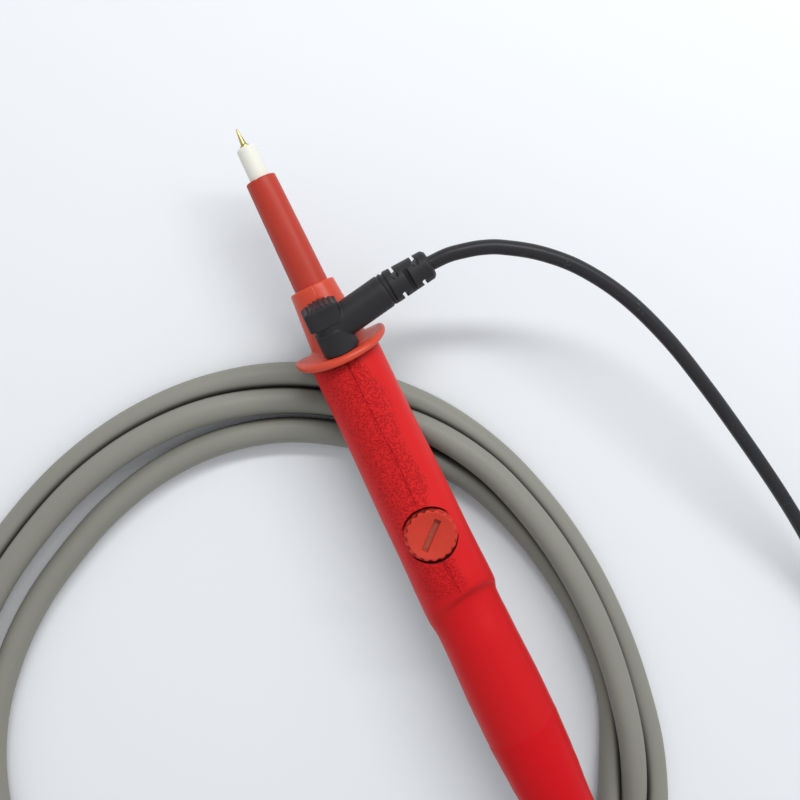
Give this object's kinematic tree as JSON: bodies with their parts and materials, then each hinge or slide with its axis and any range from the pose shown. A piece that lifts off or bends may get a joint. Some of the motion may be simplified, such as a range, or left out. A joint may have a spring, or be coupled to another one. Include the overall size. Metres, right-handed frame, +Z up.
{
  "type": "high voltage probe",
  "caption": "Red hand-held high voltage probe with a finger guard, lying on its coiled grey cable, with a black ground lead plugged into the guard.",
  "frame": {"origin": "on the probe's axis, halfway between the contact tip and the end of the bend relief", "axes": "+Y along the axis to the contact tip, +Z up and away from the table that the coil lies on, +X to the side that the ground lead leaves"},
  "size_m": [0.317, 0.3124, 0.0334],
  "materials": {
    "needle_gold": "gold-plated, polished",
    "white_insulation": "satin",
    "nose_red": "satin, moulded",
    "guard_red": "satin, moulded",
    "grip_red": "soft satin, leather grain on the top left",
    "spring_steel": "drawn wire",
    "end_cap_metal": "tinned",
    "resistor_blue": "lacquered",
    "brass": "turned",
    "wire_red": "plain",
    "wire_green": "plain",
    "seal_rubber": "plain",
    "board_green": "solder resist",
    "trimmer_blue": "moulded",
    "component_tan": "lacquered",
    "component_brown": "dipped",
    "ferrule_metal": "nickel-plated",
    "core_white": "plain",
    "cable_grey": "satin",
    "boot_black": "satin",
    "bnc_nickel": "nickel-plated",
    "bnc_gold": "gold-plated",
    "plug_black": "satin, moulded",
    "lead_black": "satin",
    "clip_nickel": "nickel-plated sheet",
    "sleeve_black": "satin"
  },
  "bodies": {
    "probe": {"contact_needle": "needle_gold", "tip_insulator": "white_insulation", "nose_tube": "nose_red", "contact_spring": "spring_steel", "resistor_front_cap": "end_cap_metal", "divider_resistor": "resistor_blue", "resistor_rear_cap": "end_cap_metal", "front_guard": "guard_red", "ground_socket": "brass", "signal_wire": "wire_red", "ground_wire": "wire_green", "handle_grip": "grip_red", "circuit_board": "board_green", "trimmer_body": "trimmer_blue", "low_side_resistor": "component_tan", "low_side_capacitor": "component_brown", "rear_body": "grip_red", "tail_cap": "grip_red", "cable_ferrule": "ferrule_metal", "cable_core": "core_white", "bend_relief": "grip_red", "probe_cable": "cable_grey", "probe_cable_coil": "cable_grey", "probe_cable_end": "cable_grey", "bnc_boot": "boot_black", "bnc_ferrule": "ferrule_metal", "bnc_body": "bnc_nickel", "bnc_insulator": "core_white", "bnc_pin": "bnc_gold", "bnc_gasket": "core_white", "ground_plug_body": "plug_black", "ground_plug_pin": "brass", "ground_plug_spring": "brass", "ground_lead": "lead_black", "ground_lead_coil": "lead_black", "ground_lead_end": "lead_black", "clip_lower_jaw": "clip_nickel", "clip_lower_sleeve": "sleeve_black", "clip_pivot": "clip_nickel", "clip_spring": "spring_steel"},
    "access_cap": {"trimmer_cap": "guard_red", "cap_o_ring": "seal_rubber"},
    "rotor": {"trimmer_rotor": "brass"},
    "bayonet_ring": {"bnc_coupling_ring": "bnc_nickel"},
    "clip_jaw": {"clip_upper_jaw": "clip_nickel", "clip_upper_sleeve": "sleeve_black"}
  },
  "joints": [
    {"name": "cap_turn", "type": "hinge", "parent": "probe", "child": "access_cap", "pos_m": [0, 0.0105, 0.009], "axis": [0, 0, 1], "range_deg": [0, 90]},
    {"name": "rotor_turn", "type": "hinge", "parent": "probe", "child": "rotor", "pos_m": [0, 0.0105, 0.003], "axis": [0, 0, 1], "continuous": true},
    {"name": "ring_turn", "type": "hinge", "parent": "probe", "child": "bayonet_ring", "pos_m": [-0.08636, -0.08006, -0.01035], "axis": [-0.9041, 0.4274, 0], "continuous": true},
    {"name": "jaw_open", "type": "hinge", "parent": "probe", "child": "clip_jaw", "pos_m": [0.1465, -0.034, -0.011], "axis": [1, 0, 0], "range_deg": [0, 16], "stiffness_Nm_per_rad": 0.15, "springref_deg": -28.65, "deforming": ["clip_spring"]}
  ]
}
